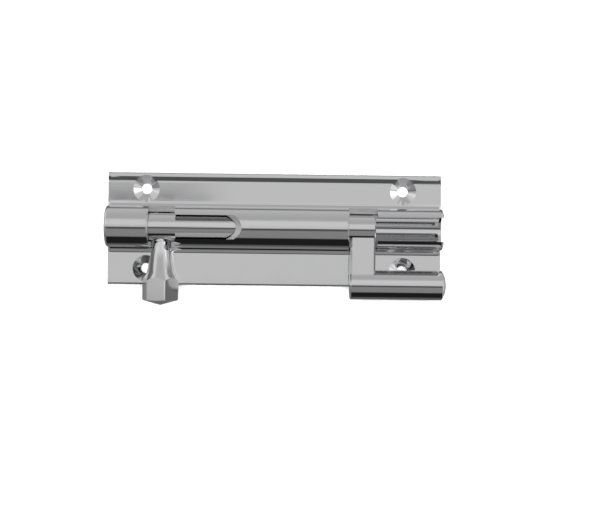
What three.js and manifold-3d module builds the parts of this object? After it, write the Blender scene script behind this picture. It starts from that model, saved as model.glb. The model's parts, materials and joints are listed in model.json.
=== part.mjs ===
// Necked barrel bolt. Millimetres. X runs along the bolt and points the way it shoots, Y up the plate,
// Z out of the plate. The origin is on the plate's back face, under the middle of the barrel.
// The bolt is drawn back and turned down: its knob and its neck point along -Y.
import * as THREE from "three";
import { mergeVertices } from "three/addons/utils/BufferGeometryUtils.js";
import Module from "manifold-3d";

// Clearances
const RUNNING_GAP = 0.3; // rod to bore, all round
const TURNING_GAP = 0.35; // neck and knob stem to the openings they turn through
const SEAT_GAP = 0.2; // a spigot or a spring in its own seat

// Plate
const PLATE_LENGTH = 76.2;
const PLATE_WIDTH = 25.6;
const PLATE_OFFSET = 0.4; // plate's centre line from the barrel's axis, towards the knob
const PLATE_THICKNESS = 1.5;
const PLATE_EDGE_BEVEL = 0.4;
const SCREW_HOLE_RADIUS = 1.2;
const COUNTERSINK_RADIUS = 3.0;
const COUNTERSINK_FLAT = 0.45; // height of the straight hole left under the cone
const SCREW_FROM_END = 8.7; // a hole's centre to the plate's end
const SCREW_RIM = 0.7; // metal between a countersink and the plate's long edge

// Bolt bar
const ROD_RADIUS = 3.1;
const SHOOT_RADIUS = 3.35;
const SHOOT_LENGTH = 21.75;
const SHOOT_DOME = 0.95; // how far the tip's dome stands out
const SHOOT_TIP_FLAT = 1.4; // radius of the flat left in the middle of the dome
const CRANK_OFFSET = 12.6; // rod axis to shoot axis
const NECK_LENGTH = 5.65; // along the bolt
const NECK_THICKNESS = 4.8;
const NECK_BEVEL = 0.4;
const END_CHAMFER = 0.5;
const SHOOT_PROUD = 0.8; // shoot's tip past the plate's end when drawn back
const ROD_TAIL_RECESS = 1.6; // rod's tail inside the barrel's end
const TRAVEL = 15; // how far the bolt slides once the knob is turned to the front

// Barrel
const BARREL_WALL = 1.3;
const BORE_RADIUS = ROD_RADIUS + RUNNING_GAP;
const BARREL_RADIUS = BORE_RADIUS + BARREL_WALL;
const FOOT_FILLET = 1.8;
const SLOT_END_RADIUS = 4.5; // rounding of the knob slot's far end, which leans outwards at 45 degrees
const WINDOW_BEVEL = 0.4;
const WINDOW_FLOOR = -0.3; // level of the two cross windows, from the barrel's axis
const KNOB_WINDOW_REACH = 3.3; // knob's axis to the window's edge on the slot's side

// Knob
const KNOB_FROM_TAIL = 12.45; // knob's axis to the plate's tail end
const KNOB_ACROSS_CORNERS = 8.6;
const KNOB_HEIGHT = 17.7; // rod axis to the knob's tip
const KNOB_TIP_DOME = 1.2;
const KNOB_TURN = -17.5; // degrees: one corner of the hexagon from the plate's normal
const SPIGOT_RADIUS = 1.25;
const STEM_SHOULDER = 0.25; // step from the spigot out to the stem
const COLLAR_RADIUS = 2.0; // stem's radius where it leaves the barrel
const WAIST_RADIUS = 3.05;
const SHOULDER_HEIGHT = 12.3; // from the rod's axis to where the hexagon has its full width
const SHOULDER_LENGTH = 1.9; // from the waist up to there
const SPIGOT_DEPTH = 2.2; // into the rod, from its surface

// Friction spring
const SPRING_LENGTH = 11.6;
const SPRING_WIDTH = 2.6;
const SPRING_THICKNESS = 0.3;
const SPRING_CENTRE_X = 2;
const SPRING_BOW = 0.75;
const GROOVE_DEPTH = 1.3;

// The axis stands so high that the knob's corners clear the plate.
const KNOB_PLATE_GAP = 0.1;
const AXIS_HEIGHT = PLATE_THICKNESS + KNOB_ACROSS_CORNERS / 2 + KNOB_PLATE_GAP;

const PLATE_END = PLATE_LENGTH / 2;
const PLATE_FRONT = -PLATE_OFFSET - PLATE_WIDTH / 2; // long edge on the knob's side
const PLATE_BACK = -PLATE_OFFSET + PLATE_WIDTH / 2;
const KNOB_X = -PLATE_END + KNOB_FROM_TAIL;
const SHOOT_TIP_X = PLATE_END + SHOOT_PROUD;
const NECK_X = SHOOT_TIP_X - SHOOT_LENGTH; // the neck's tail side, flush with the shoot's
const ROD_END_X = NECK_X + NECK_LENGTH;
const ROD_TAIL_X = -PLATE_END + ROD_TAIL_RECESS;
const SLOT_WIDTH = Math.max(NECK_THICKNESS, 2 * COLLAR_RADIUS) + 2 * RUNNING_GAP;
const FAR = 2 * PLATE_LENGTH; // longer than anything it cuts

// Sides of a round shape, and steps of an arc
const BAR_SIDES = 48;
const HOLE_SIDES = 32;
const ARCH_STEPS = 44;
const LEAF_STEPS = 16;
const SLOT_STEPS = 10;
const FILLET_STEPS = 8;
const DOME_STEPS = 5;

const wasm = await Module();
wasm.setup();

const CHROME = { color: 0xc9cdd2, roughness: 0.08, metalness: 1 };
const SPRING_STEEL = { color: 0x9aa0a6, roughness: 0.35, metalness: 1 };

// A closed three.js geometry as a solid that can be joined and cut.
function solid(geometry) {
  const bare = geometry.index ? geometry.toNonIndexed() : geometry.clone();
  bare.deleteAttribute("normal");
  bare.deleteAttribute("uv");
  const merged = mergeVertices(bare, 1e-4);
  return new wasm.Manifold(
    new wasm.Mesh({
      numProp: 3,
      vertProperties: merged.attributes.position.array,
      triVerts: new Uint32Array(merged.index.array),
    }),
  );
}

function namedMesh(name, body, material) {
  const { vertProperties, triVerts } = body.getMesh();
  const geometry = new THREE.BufferGeometry()
    .setAttribute("position", new THREE.BufferAttribute(new Float32Array(vertProperties), 3))
    .setIndex(new THREE.BufferAttribute(new Uint32Array(triVerts), 1));
  geometry.computeVertexNormals();
  const mesh = new THREE.Mesh(geometry, new THREE.MeshStandardMaterial(material));
  mesh.name = name;
  return mesh;
}

// Points on an arc about (a, b), from one angle to another, in degrees.
function arc(a, b, radius, from, to, steps) {
  return Array.from({ length: steps + 1 }, (_, i) => {
    const angle = THREE.MathUtils.degToRad(from + ((to - from) * i) / steps);
    return new THREE.Vector2(a + radius * Math.cos(angle), b + radius * Math.sin(angle));
  });
}

const point = (a, b) => new THREE.Vector2(a, b);

// An outline in the Y-Z plane, drawn out along X.
function alongX(points, x0, x1) {
  const shape = new THREE.ExtrudeGeometry(new THREE.Shape(points), { depth: x1 - x0, bevelEnabled: false });
  const turn = new THREE.Matrix4().makeBasis(
    new THREE.Vector3(0, 1, 0),
    new THREE.Vector3(0, 0, 1),
    new THREE.Vector3(1, 0, 0),
  );
  return solid(shape.applyMatrix4(turn).translate(x0, 0, 0));
}

// An outline in the X-Z plane, drawn out along Y.
function alongY(points, y0, y1) {
  const shape = new THREE.ExtrudeGeometry(new THREE.Shape(points), { depth: y1 - y0, bevelEnabled: false });
  return solid(shape.rotateX(Math.PI / 2).translate(0, y1, 0));
}

function block(x0, x1, y0, y1, z0, z1) {
  const box = new THREE.BoxGeometry(x1 - x0, y1 - y0, z1 - z0);
  return solid(box.translate((x0 + x1) / 2, (y0 + y1) / 2, (z0 + z1) / 2));
}

// A profile of (radius, height) points turned about an axis; it starts and ends on that axis.
const turned = (profile, sides) => new THREE.LatheGeometry(profile, sides);

// A profile turned about an axis along X, which lies at y and at the barrel's height.
const turnedAlongX = (profile, y) =>
  solid(turned(profile, BAR_SIDES).rotateZ(-Math.PI / 2).translate(0, y, AXIS_HEIGHT));

// ---- Backplate and barrel ----

// Plate, foot fillets and barrel are one outline, drawn out along the plate.
function plateAndBarrel() {
  const rise = AXIS_HEIGHT - PLATE_THICKNESS - FOOT_FILLET;
  const footY = Math.sqrt((BARREL_RADIUS + FOOT_FILLET) ** 2 - rise ** 2);
  const dip = THREE.MathUtils.radToDeg(Math.atan2(rise, footY));
  const filletZ = PLATE_THICKNESS + FOOT_FILLET;
  return alongX(
    [
      point(PLATE_FRONT, 0),
      point(PLATE_BACK, 0),
      point(PLATE_BACK, PLATE_THICKNESS - PLATE_EDGE_BEVEL),
      point(PLATE_BACK - PLATE_EDGE_BEVEL, PLATE_THICKNESS),
      ...arc(footY, filletZ, FOOT_FILLET, 270, 180 - dip, FILLET_STEPS),
      ...arc(0, AXIS_HEIGHT, BARREL_RADIUS, -dip, 180 + dip, ARCH_STEPS).slice(1, -1),
      ...arc(-footY, filletZ, FOOT_FILLET, dip, -90, FILLET_STEPS),
      point(PLATE_FRONT + PLATE_EDGE_BEVEL, PLATE_THICKNESS),
      point(PLATE_FRONT, PLATE_THICKNESS - PLATE_EDGE_BEVEL),
    ],
    -PLATE_END,
    PLATE_END,
  );
}

const bore = () =>
  turnedAlongX([point(0, -FAR), point(BORE_RADIUS, -FAR), point(BORE_RADIUS, FAR), point(0, FAR)], 0);

// A cross window: everything above its floor, with edges that open outwards at the surface.
function crossWindow(x0, x1) {
  const floor = AXIS_HEIGHT + WINDOW_FLOOR;
  const surface = AXIS_HEIGHT + BARREL_RADIUS;
  return alongY(
    [
      point(x0, floor),
      point(x1, floor),
      point(x1, surface - WINDOW_BEVEL),
      point(x1 + 2 * WINDOW_BEVEL, surface + WINDOW_BEVEL),
      point(x0 - 2 * WINDOW_BEVEL, surface + WINDOW_BEVEL),
      point(x0, surface - WINDOW_BEVEL),
    ],
    PLATE_FRONT,
    PLATE_BACK,
  );
}

// The slot that the knob's stem slides along, drawn in the X-Y plane at the bore's top and leant over.
function knobSlot() {
  const half = SLOT_WIDTH / 2;
  const endX = KNOB_X + TRAVEL + COLLAR_RADIUS;
  const spread = THREE.MathUtils.radToDeg(Math.asin(half / SLOT_END_RADIUS));
  const outline = new THREE.Shape([
    point(KNOB_X, -half),
    ...arc(endX - SLOT_END_RADIUS, 0, SLOT_END_RADIUS, -spread, spread, SLOT_STEPS),
    point(KNOB_X, half),
  ]);
  const cut = new THREE.ExtrudeGeometry(outline, { depth: 2 * BARREL_RADIUS, bevelEnabled: false });
  const lean = new THREE.Matrix4().makeShear(0, 0, 0, 0, 1, 0);
  const leant = cut.translate(0, 0, -BORE_RADIUS).applyMatrix4(lean);
  return solid(leant.translate(0, 0, AXIS_HEIGHT + BORE_RADIUS));
}

// The slot that the neck slides along, open at the barrel's end.
const neckSlot = () =>
  block(NECK_X, FAR, -SLOT_WIDTH / 2, SLOT_WIDTH / 2, AXIS_HEIGHT, AXIS_HEIGHT + 2 * BARREL_RADIUS);

// The lower wall's notch that the knob's stem rests in.
function stemNotch() {
  const radius = COLLAR_RADIUS + TURNING_GAP;
  const notch = new THREE.CylinderGeometry(radius, radius, PLATE_WIDTH, HOLE_SIDES);
  return solid(notch.translate(KNOB_X, -PLATE_WIDTH / 2, AXIS_HEIGHT));
}

// The lower wall's notch that the neck rests in.
const neckNotch = () =>
  block(
    NECK_X - TURNING_GAP,
    ROD_END_X + TURNING_GAP,
    PLATE_FRONT,
    0,
    AXIS_HEIGHT - NECK_THICKNESS / 2 - TURNING_GAP,
    AXIS_HEIGHT,
  );

// A screw hole: straight at the back, then a countersink that is drawn on past the plate's front.
function screwHole(x, y) {
  const slope = (COUNTERSINK_RADIUS - SCREW_HOLE_RADIUS) / (PLATE_THICKNESS - COUNTERSINK_FLAT);
  const top = 2 * PLATE_THICKNESS;
  const profile = [
    point(0, -PLATE_THICKNESS),
    point(SCREW_HOLE_RADIUS, -PLATE_THICKNESS),
    point(SCREW_HOLE_RADIUS, COUNTERSINK_FLAT),
    point(SCREW_HOLE_RADIUS + slope * (top - COUNTERSINK_FLAT), top),
    point(0, top),
  ];
  return solid(turned(profile, HOLE_SIDES).rotateX(Math.PI / 2).translate(x, y, 0));
}

function backplateBarrel() {
  let body = plateAndBarrel().subtract(bore());
  const cuts = [
    crossWindow(KNOB_X - SLOT_WIDTH / 2, KNOB_X + KNOB_WINDOW_REACH),
    crossWindow(NECK_X - TURNING_GAP, ROD_END_X + TURNING_GAP),
    knobSlot(),
    neckSlot(),
    stemNotch(),
    neckNotch(),
  ];
  const screwX = PLATE_END - SCREW_FROM_END;
  const screwY = PLATE_WIDTH / 2 - SCREW_RIM - COUNTERSINK_RADIUS;
  for (const x of [-screwX, screwX]) {
    for (const y of [-screwY, screwY]) cuts.push(screwHole(x, y - PLATE_OFFSET));
  }
  for (const cut of cuts) body = body.subtract(cut);
  return namedMesh("backplate_barrel", body, CHROME);
}

// ---- Cranked bolt ----

// The neck's section in X-Z is a rectangle with bevelled corners, which runs from the rod to the shoot.
function neck() {
  const half = NECK_THICKNESS / 2;
  const [low, high] = [AXIS_HEIGHT - half, AXIS_HEIGHT + half];
  return alongY(
    [
      point(NECK_X + NECK_BEVEL, low),
      point(ROD_END_X - NECK_BEVEL, low),
      point(ROD_END_X, low + NECK_BEVEL),
      point(ROD_END_X, high - NECK_BEVEL),
      point(ROD_END_X - NECK_BEVEL, high),
      point(NECK_X + NECK_BEVEL, high),
      point(NECK_X, high - NECK_BEVEL),
      point(NECK_X, low + NECK_BEVEL),
    ],
    -CRANK_OFFSET,
    0,
  );
}

const springGroove = () =>
  block(
    SPRING_CENTRE_X - SPRING_LENGTH / 2 - SEAT_GAP,
    SPRING_CENTRE_X + SPRING_LENGTH / 2 + SEAT_GAP,
    ROD_RADIUS - GROOVE_DEPTH,
    2 * ROD_RADIUS,
    AXIS_HEIGHT - SPRING_WIDTH / 2 - SEAT_GAP,
    AXIS_HEIGHT + SPRING_WIDTH / 2 + SEAT_GAP,
  );

function spigotHole() {
  const radius = SPIGOT_RADIUS + SEAT_GAP;
  const bottom = -ROD_RADIUS + SPIGOT_DEPTH + SEAT_GAP;
  const hole = new THREE.CylinderGeometry(radius, radius, ROD_RADIUS, HOLE_SIDES);
  return solid(hole.translate(KNOB_X, bottom - ROD_RADIUS / 2, AXIS_HEIGHT));
}

// The rod, chamfered at both ends.
function rod() {
  const end = END_CHAMFER / 2; // at the neck's end
  return turnedAlongX(
    [
      point(0, ROD_TAIL_X),
      point(ROD_RADIUS - END_CHAMFER, ROD_TAIL_X),
      point(ROD_RADIUS, ROD_TAIL_X + END_CHAMFER),
      point(ROD_RADIUS, ROD_END_X - end),
      point(ROD_RADIUS - end, ROD_END_X),
      point(0, ROD_END_X),
    ],
    0,
  );
}

// The shoot, chamfered at the neck's end and domed at its tip, where a small flat is left.
function shoot() {
  const end = END_CHAMFER / 2;
  const base = (SHOOT_RADIUS ** 2 - SHOOT_TIP_FLAT ** 2 - SHOOT_DOME ** 2) / (2 * SHOOT_DOME);
  const domeRadius = Math.hypot(SHOOT_RADIUS, base);
  const from = THREE.MathUtils.radToDeg(Math.atan2(base, SHOOT_RADIUS));
  const to = THREE.MathUtils.radToDeg(Math.atan2(base + SHOOT_DOME, SHOOT_TIP_FLAT));
  return turnedAlongX(
    [
      point(0, NECK_X),
      point(SHOOT_RADIUS - end, NECK_X),
      point(SHOOT_RADIUS, NECK_X + end),
      ...arc(0, SHOOT_TIP_X - SHOOT_DOME - base, domeRadius, from, to, DOME_STEPS),
      point(0, SHOOT_TIP_X),
    ],
    -CRANK_OFFSET,
  );
}

function crankedBolt() {
  const body = rod().add(neck()).add(shoot()).subtract(springGroove()).subtract(spigotHole());
  return namedMesh("cranked_bolt", body, CHROME);
}

// ---- Knob ----

// The knob stands on the rod and points away from it. Heights are from the rod's axis.
function knob() {
  const corner = KNOB_ACROSS_CORNERS / 2;
  const shoulder = ROD_RADIUS + SEAT_GAP; // the stem's shoulder, just clear of the rod
  const profile = [
    point(0, ROD_RADIUS - SPIGOT_DEPTH),
    point(SPIGOT_RADIUS, ROD_RADIUS - SPIGOT_DEPTH),
    point(SPIGOT_RADIUS, shoulder),
    point(SPIGOT_RADIUS + STEM_SHOULDER, shoulder),
    point(COLLAR_RADIUS, BARREL_RADIUS + TURNING_GAP),
    point(WAIST_RADIUS, SHOULDER_HEIGHT - SHOULDER_LENGTH),
    point(corner, SHOULDER_HEIGHT),
    point(corner, KNOB_HEIGHT - KNOB_TIP_DOME),
    point(0, KNOB_HEIGHT),
  ];
  const flare = solid(turned(profile, BAR_SIDES));
  const hexagon = new THREE.CylinderGeometry(corner, corner, 2 * KNOB_HEIGHT, 6);
  const body = flare.intersect(solid(hexagon.rotateY(THREE.MathUtils.degToRad(KNOB_TURN))));
  const mesh = namedMesh("knob", body, CHROME);
  mesh.rotation.x = Math.PI; // point along -Y
  mesh.position.set(KNOB_X, 0, AXIS_HEIGHT);
  return mesh;
}

// ---- Friction spring ----

// A leaf bowed towards the bore, on the side of the rod away from the knob.
function frictionSpring() {
  const half = SPRING_LENGTH / 2;
  const radius = (half ** 2 + SPRING_BOW ** 2) / (2 * SPRING_BOW);
  const spread = THREE.MathUtils.radToDeg(Math.asin(half / radius));
  const seat = ROD_RADIUS - GROOVE_DEPTH + SEAT_GAP;
  const centre = seat + SPRING_BOW + SPRING_THICKNESS - radius;
  const leaf = new THREE.Shape([
    ...arc(0, centre, radius, 90 + spread, 90 - spread, LEAF_STEPS),
    ...arc(0, centre, radius - SPRING_THICKNESS, 90 - spread, 90 + spread, LEAF_STEPS),
  ]);
  const strip = new THREE.ExtrudeGeometry(leaf, { depth: SPRING_WIDTH, bevelEnabled: false });
  const body = solid(strip.translate(0, 0, -SPRING_WIDTH / 2));
  const mesh = namedMesh("friction_spring", body, SPRING_STEEL);
  mesh.position.set(SPRING_CENTRE_X, 0, AXIS_HEIGHT);
  return mesh;
}

const barrelBolt = new THREE.Group();
barrelBolt.add(backplateBarrel(), crankedBolt(), knob(), frictionSpring());

export default barrelBolt;
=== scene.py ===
"""A polished chrome necked barrel bolt on a pale floor. The bolt is drawn back and turned down."""

import json
import math

import bmesh
import bpy
from mathutils import Matrix, Vector


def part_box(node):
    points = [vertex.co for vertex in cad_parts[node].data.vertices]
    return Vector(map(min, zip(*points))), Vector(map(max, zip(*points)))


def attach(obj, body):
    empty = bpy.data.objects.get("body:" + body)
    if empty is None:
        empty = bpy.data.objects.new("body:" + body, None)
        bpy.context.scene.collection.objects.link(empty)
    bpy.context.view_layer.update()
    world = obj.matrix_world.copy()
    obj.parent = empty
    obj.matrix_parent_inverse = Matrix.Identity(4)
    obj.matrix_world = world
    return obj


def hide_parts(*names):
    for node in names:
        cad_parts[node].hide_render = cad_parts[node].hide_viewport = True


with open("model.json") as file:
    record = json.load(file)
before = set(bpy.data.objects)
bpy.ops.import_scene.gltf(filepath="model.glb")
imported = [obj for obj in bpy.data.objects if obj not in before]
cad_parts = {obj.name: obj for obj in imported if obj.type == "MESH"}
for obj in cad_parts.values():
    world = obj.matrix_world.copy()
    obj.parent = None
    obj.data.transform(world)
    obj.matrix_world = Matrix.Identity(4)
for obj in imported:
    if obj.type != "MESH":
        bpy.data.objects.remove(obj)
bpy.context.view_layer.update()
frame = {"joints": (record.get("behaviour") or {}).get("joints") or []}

MM = 0.001

# The camera stands in front of the barrel and looks almost straight at the plate.
CAMERA_AT = Vector((1.10, -3.42, 328.60)) * MM
CAMERA_TILT, CAMERA_YAW, CAMERA_ROLL = -0.404, -0.841, 0.689  # degrees from looking straight down
CAMERA_LENS = 85.56

# Sizes of the body, in millimetres, that the frame's boxes don't give
PLATE_THICKNESS = 1.5
PLATE_EDGE_ROUND = 0.4
PLATE_LIP = 0.1  # the plate's back edge stands this much proud
PLATE_LIP_WIDTH = 1.9
BORE_RADIUS = 3.4
FOOT_FILLET = 1.8
SLOT_WIDTH = 5.4
SLOT_END_RADIUS = 4.5
TRAVEL = 15.0
TURNING_GAP = 0.35
WINDOW_FLOOR = -0.3
KNOB_WINDOW_REACH = 3.3
SCREW_HOLE_RADIUS = 1.2
COUNTERSINK_RADIUS = 3.0
COUNTERSINK_FLAT = 0.45
SCREW_FROM_END = 8.7
SCREW_RIM = 0.7
BARREL_END_ROUND = 0.7
WINDOW_FLARE_TAIL = 0.45  # how far a window's edges open out, on its tail side and on its tip side
WINDOW_FLARE_TIP = 0.2
WINDOW_FLARE_DEPTH = 1.2  # how far down from the barrel's top they start

# Sizes of the bolt bar and the knob
ROD_RADIUS = 3.1
SHOOT_RADIUS = 3.35
NECK_LENGTH = 5.65
SHOOT_LENGTH = 21.75
SHOOT_DOME = 0.95
SHOOT_TIP_FLAT = 0.7
NECK_THICKNESS = 4.8
NECK_BEVEL = 0.4
END_CHAMFER = 0.5
SPIGOT_RADIUS = 1.25
SPIGOT_DEPTH = 2.2
SEAT_GAP = 0.2
COLLAR_RADIUS = 2.0
WAIST_RADIUS = 3.05
SHOULDER_HEIGHT = 12.3
SHOULDER_LENGTH = 1.9
KNOB_ACROSS_CORNERS = 8.6
KNOB_TIP_DOME = 1.2
KNOB_TURN = 17.5  # degrees from the hexagon's corner to the plate's normal
HEXAGON_ROUND = 0.4
STEM_SHOULDER = 0.25
SPRING_THICKNESS = 0.3
GROOVE_DEPTH = 1.3

EDGE_ROUND = 0.12  # every machined edge is broken by this much
FLAT_MARGIN = 0.25  # a strip round each flat that keeps its shading flat
WIDE_FACE = 0.9  # faces wider than this are flats; narrower ones make up rounded surfaces
SMALL_EDGE_ROUND = 0.1  # the same on the bolt bar and the knob
SPRING_EDGE_ROUND = 0.04
WIDE_STRIP = 2.2  # degrees, half the width of the strip that a cut along a round surface falls on
CUT_PAST = 1.0  # how far a screw's cutter goes on past the plate
FAR = 100.0  # longer than anything it cuts


def box_mm(node):
    low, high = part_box(node)
    return low / MM, high / MM


body_low, body_high = box_mm("backplate_barrel")
bar_low, bar_high = box_mm("cranked_bolt")
knob_low, knob_high = box_mm("knob")
spring_low, spring_high = box_mm("friction_spring")

AXIS = frame["joints"][0]["pos_m"][2] / MM
PLATE_END = body_high.x
PLATE_FRONT, PLATE_BACK = body_low.y, body_high.y
BARREL_RADIUS = body_high.z - AXIS
KNOB_X = (knob_low.x + knob_high.x) / 2
SHOOT_Y = bar_low.y + SHOOT_RADIUS
SPRING_X = (spring_low.x + spring_high.x) / 2
NECK_START = bar_high.x - SHOOT_LENGTH


# ---- Materials ----


class Nodes:
    """A small helper that adds and joins the nodes of one material."""

    def __init__(self, name, color, metallic, roughness):
        self.material = bpy.data.materials.new(name)
        self.material.use_nodes = True
        self.tree = self.material.node_tree
        self.shader = self.tree.nodes["Principled BSDF"]
        self.shader.inputs["Base Color"].default_value = (*color, 1)
        self.shader.inputs["Metallic"].default_value = metallic
        self.shader.inputs["Roughness"].default_value = roughness

    def add(self, kind, **settings):
        node = self.tree.nodes.new(kind)
        for key, value in settings.items():
            if key in node.inputs:
                node.inputs[key].default_value = value
            else:
                setattr(node, key, value)
        return node

    def join(self, source, target):
        self.tree.links.new(source, target)

    def place(self, stretch):
        """The piece's own coordinates in metres, stretched along each axis."""
        coordinates = self.add("ShaderNodeTexCoord")
        mapping = self.add("ShaderNodeMapping")
        mapping.inputs["Scale"].default_value = stretch
        self.join(coordinates.outputs["Object"], mapping.inputs["Vector"])
        return mapping.outputs["Vector"]

    def noise(self, stretch, scale, detail=4.0):
        texture = self.add("ShaderNodeTexNoise", Scale=scale, Detail=detail)
        self.join(self.place(stretch), texture.inputs["Vector"])
        return texture.outputs["Fac"]

    def edges(self, reach):
        """0 on a flat or a gentle curve, more within reach of an edge."""
        rounded = self.add("ShaderNodeBevel", Radius=reach)
        geometry = self.add("ShaderNodeNewGeometry")
        dot = self.add("ShaderNodeVectorMath", operation="DOT_PRODUCT")
        self.join(rounded.outputs["Normal"], dot.inputs[0])
        self.join(geometry.outputs["Normal"], dot.inputs[1])
        flip = self.add("ShaderNodeMath", operation="SUBTRACT")
        flip.inputs[0].default_value = 1.0
        self.join(dot.outputs["Value"], flip.inputs[1])
        return flip.outputs[0]

    def spread(self, value, low, high, start=0.35, end=0.65):
        """value, stretched from start..end to low..high."""
        node = self.add("ShaderNodeMapRange")
        node.inputs["From Min"].default_value = start
        node.inputs["From Max"].default_value = end
        node.inputs["To Min"].default_value = low
        node.inputs["To Max"].default_value = high
        self.join(value, node.inputs["Value"])
        return node.outputs["Result"]

    def bump(self, height, distance, strength, after=None):
        node = self.add("ShaderNodeBump", Distance=distance, Strength=strength)
        self.join(height, node.inputs["Height"])
        if after:
            self.join(after, node.inputs["Normal"])
        return node.outputs["Normal"]


def chrome(name, color, rough_low, rough_high, grain):
    """Polished chrome plate: a faint polishing grain, soft waves and slightly duller worn edges."""
    m = Nodes(name, color, 1.0, rough_low)
    patches = m.spread(m.noise((1, 1, 1), 160.0, 3.0), rough_low, rough_high)
    total = m.add("ShaderNodeMath", operation="ADD")
    m.join(patches, total.inputs[0])
    m.join(m.spread(m.edges(0.0002), 0.0, 0.10, 0.0, 0.05), total.inputs[1])
    m.join(total.outputs[0], m.shader.inputs["Roughness"])
    waves = m.bump(m.noise((0.35, 1, 1), 90.0, 1.0), 0.00004, 0.06)
    scratches = m.bump(m.noise(grain, 2600.0, 2.0), 0.000004, 0.12, waves)
    m.join(scratches, m.shader.inputs["Normal"])
    return m.material


def milled(name):
    """Plated over a milled face: cutter lines show through, and it is duller than the polished faces."""
    m = Nodes(name, (0.62, 0.62, 0.63), 1.0, 0.22)
    lines = m.noise((0.3, 6, 1), 900.0, 2.0)
    m.join(m.spread(lines, 0.14, 0.30), m.shader.inputs["Roughness"])
    m.join(m.bump(lines, 0.00002, 0.35), m.shader.inputs["Normal"])
    return m.material


def end_cut(name):
    """The slot's sloping end: a fine cut, nearly matt, so that it shows bright under the lights."""
    m = Nodes(name, (0.86, 0.86, 0.86), 1.0, 0.4)
    lines = m.noise((1, 6, 1), 900.0, 2.0)
    m.join(m.spread(lines, 0.32, 0.45), m.shader.inputs["Roughness"])
    m.join(m.bump(lines, 0.00001, 0.3), m.shader.inputs["Normal"])
    return m.material


def spring_steel(name):
    m = Nodes(name, (0.42, 0.43, 0.45), 1.0, 0.35)
    lines = m.noise((0.2, 4, 4), 1200.0, 3.0)
    m.join(m.spread(lines, 0.25, 0.42), m.shader.inputs["Roughness"])
    m.join(m.bump(lines, 0.00001, 0.3), m.shader.inputs["Normal"])
    return m.material


BODY_CHROME = chrome("body_chrome", (0.80, 0.80, 0.81), 0.035, 0.065, (0.05, 1, 1))
BAR_CHROME = chrome("bolt_chrome", (0.80, 0.80, 0.81), 0.03, 0.06, (0.05, 1, 1))
KNOB_CHROME = chrome("knob_chrome", (0.84, 0.84, 0.84), 0.04, 0.07, (1, 0.05, 1))
MILLED = milled("milled_chrome")
END_CUT = end_cut("end_cut")
SPRING_STEEL = spring_steel("spring_steel")


# ---- Shapes, in millimetres ----


def arc(a, b, radius, start, end, step=2.0):
    """Points on an arc about (a, b), from one angle to another, in degrees."""
    count = max(1, round(abs(end - start) / step))
    angles = [math.radians(start + (end - start) * i / count) for i in range(count + 1)]
    return [(a + radius * math.cos(t), b + radius * math.sin(t)) for t in angles]


def arc_through(a, b, radius, stops, step=2.0):
    """An arc that leaves one wide strip astride each stop inside it, for a cut to fall on."""
    points = []
    start = stops[0]
    for stop in stops[1:-1]:
        points += arc(a, b, radius, start, stop - WIDE_STRIP, step)
        start = stop + WIDE_STRIP
    return points + arc(a, b, radius, start, stops[-1], step)


def made(name, bm, material):
    bmesh.ops.recalc_face_normals(bm, faces=bm.faces)
    mesh = bpy.data.meshes.new(name)
    bm.to_mesh(mesh)
    bm.free()
    mesh.materials.append(material)
    piece = bpy.data.objects.new(name, mesh)
    bpy.context.scene.collection.objects.link(piece)
    return piece


def drawn_out(name, outline, start, end, place, material=MILLED):
    """An outline drawn out from start to end. place turns (a, b, along) into (x, y, z)."""
    bm = bmesh.new()
    rings = [[bm.verts.new(place(a, b, along)) for a, b in outline] for along in (start, end)]
    bm.faces.new(rings[0])
    bm.faces.new(rings[1])
    for i in range(len(outline)):
        j = (i + 1) % len(outline)
        bm.faces.new((rings[0][i], rings[0][j], rings[1][j], rings[1][i]))
    return made(name, bm, material)


def along_x(a, b, along):
    return (along, a, b)


def along_y(a, b, along):
    return (a, along, b)


def along_z(a, b, along):
    return (a, b, along)


def turned(name, profile, place, material=MILLED, step=3.0):
    """A profile of (radius, height) points turned about an axis; it starts and ends on that axis."""
    bm = bmesh.new()
    count = round(360 / step)
    rings = []
    for radius, height in profile:
        if radius == 0:
            rings.append([bm.verts.new(place(0, 0, height))])
            continue
        turn = [2 * math.pi * i / count for i in range(count)]
        rings.append([bm.verts.new(place(radius * math.cos(t), radius * math.sin(t), height)) for t in turn])
    for low, high in zip(rings, rings[1:]):
        for i in range(count):
            j = (i + 1) % count
            corners = [low[i % len(low)], low[j % len(low)], high[j % len(high)], high[i % len(high)]]
            bm.faces.new(list(dict.fromkeys(corners)))
    return made(name, bm, material)


def settle(piece):
    """Applies the piece's modifiers."""
    bpy.context.view_layer.update()
    done = piece.evaluated_get(bpy.context.evaluated_depsgraph_get())
    mesh = bpy.data.meshes.new_from_object(done)
    piece.modifiers.clear()
    piece.data = mesh


def combine(piece, others, operation="DIFFERENCE"):
    for other in others:
        step = piece.modifiers.new(operation, "BOOLEAN")
        step.operation = operation
        step.solver = "EXACT"
        step.material_mode = "TRANSFER"
        step.object = other
        settle(piece)
        bpy.data.objects.remove(other)


def finish_piece(piece, width):
    """Breaks the sharp edges, smooths the shading and brings the piece to metres."""
    bevel = piece.modifiers.new("edges", "BEVEL")
    bevel.width = width
    bevel.segments = 2
    bevel.limit_method = "ANGLE"
    bevel.angle_limit = math.radians(28)
    bevel.use_clamp_overlap = True
    bevel.face_strength_mode = "FSTR_AFFECTED"
    piece.data.shade_smooth()
    weigh = piece.modifiers.new("normals", "WEIGHTED_NORMAL")
    weigh.mode = "FACE_AREA"
    weigh.use_face_influence = True
    weigh.keep_sharp = True
    settle(piece)
    keep_flats(piece.data)
    piece.data.transform(Matrix.Scale(MM, 4))


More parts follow.
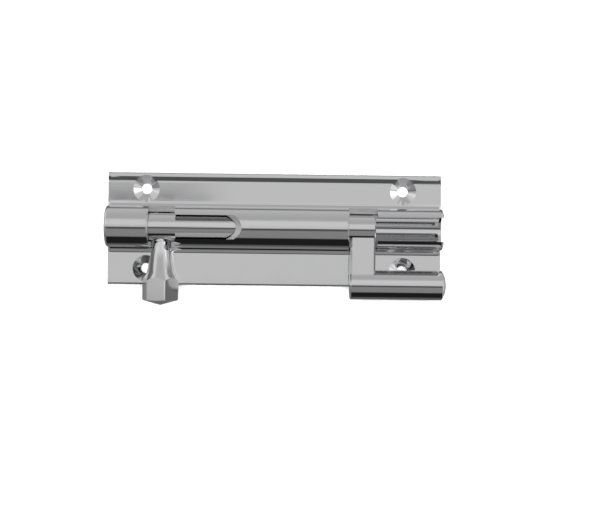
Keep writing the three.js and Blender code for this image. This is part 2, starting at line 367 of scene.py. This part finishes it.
def keep_flats(mesh):
    """Gives every flat its own normal at all its corners, so that only the rounded edges shade round."""

    def plane(face):
        return tuple(round(value, 2) for value in (*face.normal, face.normal @ face.center))

    def width(face):
        corners = [mesh.vertices[i].co for i in face.vertices]
        return face.area / max((a - b).length for a, b in zip(corners, corners[1:] + corners[:1]))

    normals = [corner.vector.copy() for corner in mesh.corner_normals]
    flats = {plane(face) for face in mesh.polygons if width(face) > WIDE_FACE}
    for face in mesh.polygons:
        if plane(face) in flats:
            for loop in face.loop_indices:
                normals[loop] = face.normal.copy()
    mesh.normals_split_custom_set(normals)


def belongs(piece, node, body):
    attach(piece, body)
    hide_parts(node)


# ---- Backplate and barrel ----


def body_outline(inset):
    """Plate, foot fillets and barrel as (y, z) points, with the barrel and its feet drawn in by inset."""
    rise = AXIS - PLATE_THICKNESS - FOOT_FILLET
    foot = math.sqrt((BARREL_RADIUS + FOOT_FILLET) ** 2 - rise**2)
    dip = math.degrees(math.atan2(rise, foot))
    fillet_z = PLATE_THICKNESS + FOOT_FILLET
    slot = math.degrees(math.acos(SLOT_WIDTH / 2 / BARREL_RADIUS))
    floor = math.degrees(math.asin(WINDOW_FLOOR / BARREL_RADIUS))
    stops = [-dip, floor, slot, 180 - slot, 180 - floor, 180 + dip]
    arch = [
        (foot + FLAT_MARGIN, PLATE_THICKNESS),
        *arc(foot, fillet_z, FOOT_FILLET, 270, 180 - dip, 4),
        *arc_through(0, AXIS, BARREL_RADIUS, stops)[1:-1],
        *arc(-foot, fillet_z, FOOT_FILLET, dip, -90, 4),
        (-foot - FLAT_MARGIN, PLATE_THICKNESS),
    ]
    narrower = 1 - inset / BARREL_RADIUS
    lower = 1 - inset / (AXIS + BARREL_RADIUS - PLATE_THICKNESS)
    return [
        (PLATE_FRONT, 0),
        (PLATE_BACK, 0),
        *plate_edge(PLATE_BACK, PLATE_LIP),
        *[(y * narrower, PLATE_THICKNESS + (z - PLATE_THICKNESS) * lower) for y, z in arch],
        *[(-y, z) for y, z in reversed(plate_edge(-PLATE_FRONT, 0))],
    ]


def plate_edge(side, lip):
    """From the plate's side up over its rounded edge and in across the low lip left by drawing."""
    inner = side - PLATE_EDGE_ROUND
    points = arc(inner, PLATE_THICKNESS + lip - PLATE_EDGE_ROUND, PLATE_EDGE_ROUND, 0, 90, 15)
    for t in (0.25, 0.5, 0.75, 1.0):
        height = lip * (0.5 + 0.5 * math.cos(math.pi * t))
        points.append((inner - PLATE_LIP_WIDTH * t, PLATE_THICKNESS + height))
    points.append((inner - PLATE_LIP_WIDTH - FLAT_MARGIN, PLATE_THICKNESS))
    return points


def rounded_body():
    """The body's outline drawn along the plate, with the barrel's two end edges rounded over."""
    sections = []
    for degrees in (0, 15, 30, 45, 60, 75, 90):
        turn = math.radians(degrees)
        along = PLATE_END - BARREL_END_ROUND * (1 - math.cos(turn))
        sections.append((along, BARREL_END_ROUND * (1 - math.sin(turn))))
    stations = [(-along, inset) for along, inset in sections] + sections[::-1]
    bm = bmesh.new()
    rings = [[bm.verts.new((x, y, z)) for y, z in body_outline(inset)] for x, inset in stations]
    bm.faces.new(rings[0])
    bm.faces.new(rings[-1])
    for ring, following in zip(rings, rings[1:]):
        for i in range(len(ring)):
            j = (i + 1) % len(ring)
            bm.faces.new((ring[i], ring[j], following[j], following[i]))
    return made("plate_and_barrel", bm, BODY_CHROME)


def bore_cutter():
    slot = math.degrees(math.acos(SLOT_WIDTH / 2 / BORE_RADIUS))
    floor = math.degrees(math.asin(WINDOW_FLOOR / BORE_RADIUS))
    stops = [-90, floor, slot, 180 - slot, 180 - floor, 270]
    outline = arc_through(0, AXIS, BORE_RADIUS, stops, 3.0)[:-1]
    return drawn_out("bore", outline, -FAR, FAR, along_x, BODY_CHROME)


def window_cutter(start, end):
    """A cross window: everything above its floor, with edges that open outwards at the surface."""
    floor = AXIS + WINDOW_FLOOR
    low = AXIS + BARREL_RADIUS - WINDOW_FLARE_DEPTH
    high = AXIS + BARREL_RADIUS + WINDOW_FLARE_DEPTH
    outline = [
        (start, floor),
        (end, floor),
        (end, low),
        (end + 2 * WINDOW_FLARE_TIP, high),
        (start - 2 * WINDOW_FLARE_TAIL, high),
        (start, low),
    ]
    return drawn_out("window", outline, PLATE_FRONT, PLATE_BACK, along_y)


def knob_slot_cutter():
    """The knob's slot. Its far end is rounded and leans outwards at 45 degrees."""
    half = SLOT_WIDTH / 2
    end = KNOB_X + TRAVEL + COLLAR_RADIUS
    spread = math.degrees(math.asin(half / SLOT_END_RADIUS))
    tip = arc(end - SLOT_END_RADIUS, 0, SLOT_END_RADIUS, -spread, spread)
    outline = [(KNOB_X, -half), *tip, (KNOB_X, half)]

    def leant(x, y, rise):
        return (x + rise, y, AXIS + BORE_RADIUS + rise)

    return drawn_out("slot", outline, -BORE_RADIUS, BARREL_RADIUS, leant, END_CUT)


def block_cutter(x0, x1, y0, y1, z0, z1):
    return drawn_out("block", [(x0, y0), (x1, y0), (x1, y1), (x0, y1)], z0, z1, along_z)


def screw_cutter(x, y):
    slope = (COUNTERSINK_RADIUS - SCREW_HOLE_RADIUS) / (PLATE_THICKNESS - COUNTERSINK_FLAT)
    profile = [
        (0, -CUT_PAST),
        (SCREW_HOLE_RADIUS, -CUT_PAST),
        (SCREW_HOLE_RADIUS, COUNTERSINK_FLAT),
        (COUNTERSINK_RADIUS + slope * CUT_PAST, PLATE_THICKNESS + CUT_PAST),
        (0, PLATE_THICKNESS + CUT_PAST),
    ]
    return turned("screw", profile, lambda a, b, h: (x + a, y + b, h), BODY_CHROME, 5.0)


def make_body():
    piece = rounded_body()
    neck_tail = NECK_START - TURNING_GAP
    neck_tip = NECK_START + NECK_LENGTH + TURNING_GAP
    notch = COLLAR_RADIUS + TURNING_GAP
    stem_notch = [(0, PLATE_FRONT), (notch, PLATE_FRONT), (notch, 0), (0, 0)]
    cuts = [
        bore_cutter(),
        window_cutter(KNOB_X - SLOT_WIDTH / 2, KNOB_X + KNOB_WINDOW_REACH),
        window_cutter(neck_tail, neck_tip),
        knob_slot_cutter(),
        block_cutter(NECK_START, FAR, -SLOT_WIDTH / 2, SLOT_WIDTH / 2, AXIS, FAR),
        turned("stem_notch", stem_notch, lambda a, b, h: (KNOB_X + a, h, AXIS + b), step=4.0),
        block_cutter(neck_tail, neck_tip, PLATE_FRONT, 0, AXIS - NECK_THICKNESS / 2 - TURNING_GAP, AXIS),
    ]
    screw_x = PLATE_END - SCREW_FROM_END
    front_y = PLATE_FRONT + SCREW_RIM + COUNTERSINK_RADIUS
    back_y = PLATE_BACK - SCREW_RIM - COUNTERSINK_RADIUS
    cuts += [screw_cutter(x, y) for x in (-screw_x, screw_x) for y in (front_y, back_y)]
    combine(piece, cuts)
    finish_piece(piece, EDGE_ROUND)
    belongs(piece, "backplate_barrel", "plate")


# ---- Cranked bolt ----


def rod_profile(start, end):
    tip = END_CHAMFER / 2
    return [
        (0, start),
        (ROD_RADIUS - END_CHAMFER, start),
        (ROD_RADIUS, start + END_CHAMFER),
        (ROD_RADIUS, end - tip),
        (ROD_RADIUS - tip, end),
        (0, end),
    ]


def shoot_profile(start, end):
    """Chamfered at the neck's end and domed at the tip."""
    tail = END_CHAMFER / 2
    base = (SHOOT_RADIUS**2 - SHOOT_TIP_FLAT**2 - SHOOT_DOME**2) / (2 * SHOOT_DOME)
    low = math.degrees(math.atan2(base, SHOOT_RADIUS))
    high = math.degrees(math.atan2(base + SHOOT_DOME, SHOOT_TIP_FLAT))
    dome = arc(0, end - SHOOT_DOME - base, math.hypot(base, SHOOT_RADIUS), low, high, 3)
    return [(0, start), (SHOOT_RADIUS - tail, start), (SHOOT_RADIUS, start + tail), *dome, (0, end)]


def make_bar():
    rod_end = NECK_START + NECK_LENGTH
    rod = turned(
        "bolt_bar",
        rod_profile(bar_low.x, rod_end),
        lambda a, b, h: (h, a, AXIS + b),
        BAR_CHROME,
        2.5,
    )
    shoot = turned(
        "shoot",
        shoot_profile(NECK_START, bar_high.x),
        lambda a, b, h: (h, SHOOT_Y + a, AXIS + b),
        BAR_CHROME,
        2.5,
    )
    half = NECK_THICKNESS / 2
    low, high = AXIS - half, AXIS + half
    start, end = NECK_START, rod_end
    section = [
        (start + NECK_BEVEL, low),
        (end - NECK_BEVEL, low),
        (end, low + NECK_BEVEL),
        (end, high - NECK_BEVEL),
        (end - NECK_BEVEL, high),
        (start + NECK_BEVEL, high),
        (start, high - NECK_BEVEL),
        (start, low + NECK_BEVEL),
    ]
    neck = drawn_out("neck", section, SHOOT_Y, 0, along_y, BAR_CHROME)
    combine(rod, [neck, shoot], "UNION")
    groove = block_cutter(
        spring_low.x - SEAT_GAP,
        spring_high.x + SEAT_GAP,
        ROD_RADIUS - GROOVE_DEPTH,
        2 * ROD_RADIUS,
        spring_low.z - SEAT_GAP,
        spring_high.z + SEAT_GAP,
    )
    bottom = -ROD_RADIUS + SPIGOT_DEPTH + SEAT_GAP
    radius = SPIGOT_RADIUS + SEAT_GAP
    hole = turned(
        "spigot_hole",
        [(0, -2 * ROD_RADIUS), (radius, -2 * ROD_RADIUS), (radius, bottom), (0, bottom)],
        lambda a, b, h: (KNOB_X + a, h, AXIS + b),
        step=10.0,
    )
    combine(rod, [groove, hole])
    finish_piece(rod, SMALL_EDGE_ROUND)
    belongs(rod, "cranked_bolt", "bolt")


# ---- Knob ----


def make_knob():
    corner = KNOB_ACROSS_CORNERS / 2
    tip = -knob_low.y
    shoulder = ROD_RADIUS + SEAT_GAP
    profile = [
        (0, ROD_RADIUS - SPIGOT_DEPTH),
        (SPIGOT_RADIUS, ROD_RADIUS - SPIGOT_DEPTH),
        (SPIGOT_RADIUS, shoulder),
        (SPIGOT_RADIUS + STEM_SHOULDER, shoulder),
        (COLLAR_RADIUS, BARREL_RADIUS + TURNING_GAP),
        (WAIST_RADIUS, SHOULDER_HEIGHT - SHOULDER_LENGTH),
        (corner, SHOULDER_HEIGHT),
        (corner, tip - KNOB_TIP_DOME),
        (0, tip),
    ]

    def place(a, b, h):
        return (KNOB_X + a, -h, AXIS + b)

    knob = turned("knob_body", profile, place, KNOB_CHROME, 3.0)
    outline = []
    for corner_at in range(0, 360, 60):
        around = corner_at + 90 - KNOB_TURN
        inset = corner - HEXAGON_ROUND / math.cos(math.radians(30))
        a, b = (inset * part(math.radians(around)) for part in (math.cos, math.sin))
        outline += arc(a, b, HEXAGON_ROUND, around - 30, around + 30, 7.5)
    hexagon = drawn_out("hexagon", outline, 0, 2 * tip, place, KNOB_CHROME)
    combine(knob, [hexagon], "INTERSECT")
    finish_piece(knob, SMALL_EDGE_ROUND)
    belongs(knob, "knob", "bolt")


# ---- Friction spring ----


def make_spring():
    half = (spring_high.x - spring_low.x) / 2
    bow = spring_high.y - spring_low.y - SPRING_THICKNESS
    radius = (half**2 + bow**2) / (2 * bow)
    spread = math.degrees(math.asin(half / radius))
    centre = spring_high.y - radius
    outline = [
        *arc(SPRING_X, centre, radius, 90 + spread, 90 - spread, 1.5),
        *arc(SPRING_X, centre, radius - SPRING_THICKNESS, 90 - spread, 90 + spread, 1.5),
    ]
    piece = drawn_out("spring_leaf", outline, spring_low.z, spring_high.z, along_z, SPRING_STEEL)
    finish_piece(piece, SPRING_EDGE_ROUND)
    belongs(piece, "friction_spring", "bolt")


# ---- Studio ----


def make_camera():
    turn = (
        Matrix.Rotation(math.radians(CAMERA_TILT), 4, "X")
        @ Matrix.Rotation(math.radians(CAMERA_YAW), 4, "Y")
        @ Matrix.Rotation(math.radians(CAMERA_ROLL), 4, "Z")
    )
    camera = bpy.data.objects.new("camera", bpy.data.cameras.new("camera"))
    camera.data.lens = CAMERA_LENS
    camera.data.clip_start = 0.01
    camera.matrix_world = Matrix.Translation(CAMERA_AT) @ turn
    bpy.context.scene.collection.objects.link(camera)
    bpy.context.scene.camera = camera


OVERHEAD = 0.62  # the studio's brightness straight up
# What the studio shows, as (degrees from straight up, brightness): + is beyond the plate's back edge and
# - beyond its front edge. The dark step just off zero is the camera, and the black one is the open room.
STUDIO_ROUND = [
    (-180, 0.16),
    (-135, 0.14),
    (-115, 0.1),
    (-107, 0.014),
    (-63, 0.014),
    (-56, 0.25),
    (-17, 0.26),
    (-13, 0.09),
    (-4, 0.09),
    (-2.6, OVERHEAD),
    (5, OVERHEAD),
    (13, 0.68),
    (34, 0.68),
    (45, 0.46),
    (61, 0.45),
    (109, 0.55),
    (123, 0.16),
    (180, 0.16),
]
# The same along the bolt, as (how far the direction leans towards +X, brightness)
STUDIO_ALONG = [
    (-1, 0.8),
    (-0.85, 0.42),
    (-0.5, 0.5),
    (0.2, 1.0),
    (0.7, 0.75),
    (0.8, 1.4),
    (0.93, 1.4),
    (0.97, 0.4),
]
STUDIO_ROUND_SHARE = 1.05  # how strongly the bands round the bolt show in it too
STUDIO_TAIL_BACK = 0.82  # brightness beyond the tail and towards the plate's back edge, from these leans on
TAIL_FROM, TAIL_TO = -0.15, 0.0
BACK_FROM, BACK_TO = 0.02, 0.3
# Greyer stripes of the ceiling, in degrees as above, which the plate shows behind the barrel near its tail
STRIPES = [
    (1.6, OVERHEAD),
    (1.67, 0.1),
    (1.74, 0.12),
    (1.8, 0.36),
    (2.02, 0.38),
    (2.2, 0.52),
    (2.6, 0.52),
    (2.95, 0.25),
]
STRIPES_TAIL = -0.3, -0.2  # they show between these leans along the bolt, and fade in and out within each
STRIPES_MIDDLE = -0.075, -0.03
ALONG_FROM, ALONG_TO = 0.30, 0.62  # how far a direction leans before STUDIO_ALONG takes over

# Sizes of the studio, in metres
FLOOR_HALF = 1.5
FLOOR_DROP = 0.0001  # just below the plate's back
BACKDROP_RADIUS = 2.0
LIGHT_HEIGHT = 1.2
LIGHT_SIZE = 1.4
LIGHT_POWER = 26.0


class World:
    """Adds and joins the nodes of the studio."""

    def __init__(self):
        world = bpy.data.worlds.new("studio")
        world.use_nodes = True
        bpy.context.scene.world = world
        self.nodes, self.links = world.node_tree.nodes, world.node_tree.links
        self.background = self.nodes["Background"]

    def math(self, operation, *values):
        node = self.nodes.new("ShaderNodeMath")
        node.operation = operation
        for socket, value in zip(node.inputs, values):
            if isinstance(value, (int, float)):
                socket.default_value = value
            else:
                self.links.new(value, socket)
        return node.outputs[0]

    def step(self, value, start, end, low=0.0, high=1.0):
        node = self.nodes.new("ShaderNodeMapRange")
        node.interpolation_type = "SMOOTHSTEP"
        settings = (("From Min", start), ("From Max", end), ("To Min", low), ("To Max", high))
        for name, number in settings:
            node.inputs[name].default_value = number
        self.links.new(value, node.inputs["Value"])
        return node.outputs["Result"]

    def ramp(self, value, steps):
        """steps: (place from 0 to 1, brightness)"""
        node = self.nodes.new("ShaderNodeValToRGB")
        elements = node.color_ramp.elements
        while len(elements) < len(steps):
            elements.new(0.5)
        for element, (place, level) in zip(elements, steps):
            element.position = place
            element.color = (level, level, level, 1)
        self.links.new(value, node.inputs["Fac"])
        return node.outputs["Color"]

    def mix(self, factor, low, high):
        node = self.nodes.new("ShaderNodeMix")
        node.data_type = "RGBA"
        colors = [socket for socket in node.inputs if socket.type == "RGBA"]
        self.links.new(factor, node.inputs[0])
        for socket, value in zip(colors, (low, high)):
            if isinstance(value, tuple):
                socket.default_value = value
            else:
                self.links.new(value, socket)
        return next(socket for socket in node.outputs if socket.type == "RGBA")


def make_world():
    w = World()
    where = w.nodes.new("ShaderNodeTexCoord")
    split = w.nodes.new("ShaderNodeSeparateXYZ")
    w.links.new(where.outputs["Generated"], split.inputs[0])
    x, y, z = split.outputs
    degrees = w.math("MULTIPLY", w.math("ARCTAN2", y, z), 180 / math.pi)
    turn = w.math("MULTIPLY_ADD", degrees, 1 / 360, 0.5)
    around = w.ramp(turn, [((a + 180) / 360, level) for a, level in STUDIO_ROUND])
    along = w.ramp(w.math("MULTIPLY_ADD", x, 0.5, 0.5), [((a + 1) / 2, level) for a, level in STUDIO_ALONG])
    tail_back = w.math("MULTIPLY", w.step(y, BACK_FROM, BACK_TO), w.step(x, TAIL_FROM, TAIL_TO, 1.0, 0.0))
    level = (STUDIO_TAIL_BACK, STUDIO_TAIL_BACK, STUDIO_TAIL_BACK, 1)
    along = w.mix(tail_back, along, level)
    banded = w.math("MULTIPLY_ADD", around, STUDIO_ROUND_SHARE, 1 - STUDIO_ROUND_SHARE * OVERHEAD)
    along = w.math("MULTIPLY", along, banded)
    color = w.mix(w.step(w.math("ABSOLUTE", x), ALONG_FROM, ALONG_TO), around, along)
    low, high = STRIPES[0][0], STRIPES[-1][0]
    place = w.math("MULTIPLY_ADD", degrees, 1 / (high - low), -low / (high - low))
    stripes = w.ramp(place, [((a - low) / (high - low), level) for a, level in STRIPES])
    patch = w.math("MULTIPLY", w.step(degrees, low, low + 0.02), w.step(degrees, high, high + 0.5, 1.0, 0.0))
    patch = w.math("MULTIPLY", patch, w.step(x, *STRIPES_MIDDLE, 1.0, 0.0))
    patch = w.math("MULTIPLY", patch, w.step(x, *STRIPES_TAIL))
    color = w.mix(patch, color, stripes)
    w.links.new(color, w.background.inputs["Color"])


def make_floor():
    bm = bmesh.new()
    bmesh.ops.create_grid(bm, x_segments=1, y_segments=1, size=FLOOR_HALF)
    m = Nodes("pale_floor", (0.93, 0.93, 0.93), 0.0, 0.9)
    floor = made("floor", bm, m.material)
    floor.location.z = -FLOOR_DROP
    floor.visible_glossy = False


def make_backdrop():
    """A plain pale surround behind the floor's far edge, which only the camera sees."""
    bm = bmesh.new()
    bmesh.ops.create_uvsphere(bm, u_segments=32, v_segments=16, radius=BACKDROP_RADIUS)
    m = Nodes("pale_backdrop", (0, 0, 0), 0.0, 1.0)
    m.shader.inputs["Emission Color"].default_value = (1, 1, 1, 1)
    m.shader.inputs["Emission Strength"].default_value = 1.0
    backdrop = made("backdrop", bm, m.material)
    backdrop.visible_glossy = False
    backdrop.visible_diffuse = False
    backdrop.visible_transmission = False
    backdrop.visible_shadow = False


def make_light():
    data = bpy.data.lights.new("overhead", "AREA")
    data.shape = "DISK"
    data.size = LIGHT_SIZE
    data.energy = LIGHT_POWER
    light = bpy.data.objects.new("overhead", data)
    light.location = (0, 0, LIGHT_HEIGHT)
    light.visible_glossy = False
    bpy.context.scene.collection.objects.link(light)


bpy.context.scene.view_settings.view_transform = "Standard"
make_camera()
make_world()
make_floor()
make_backdrop()
make_light()
make_body()
make_bar()
make_knob()
make_spring()
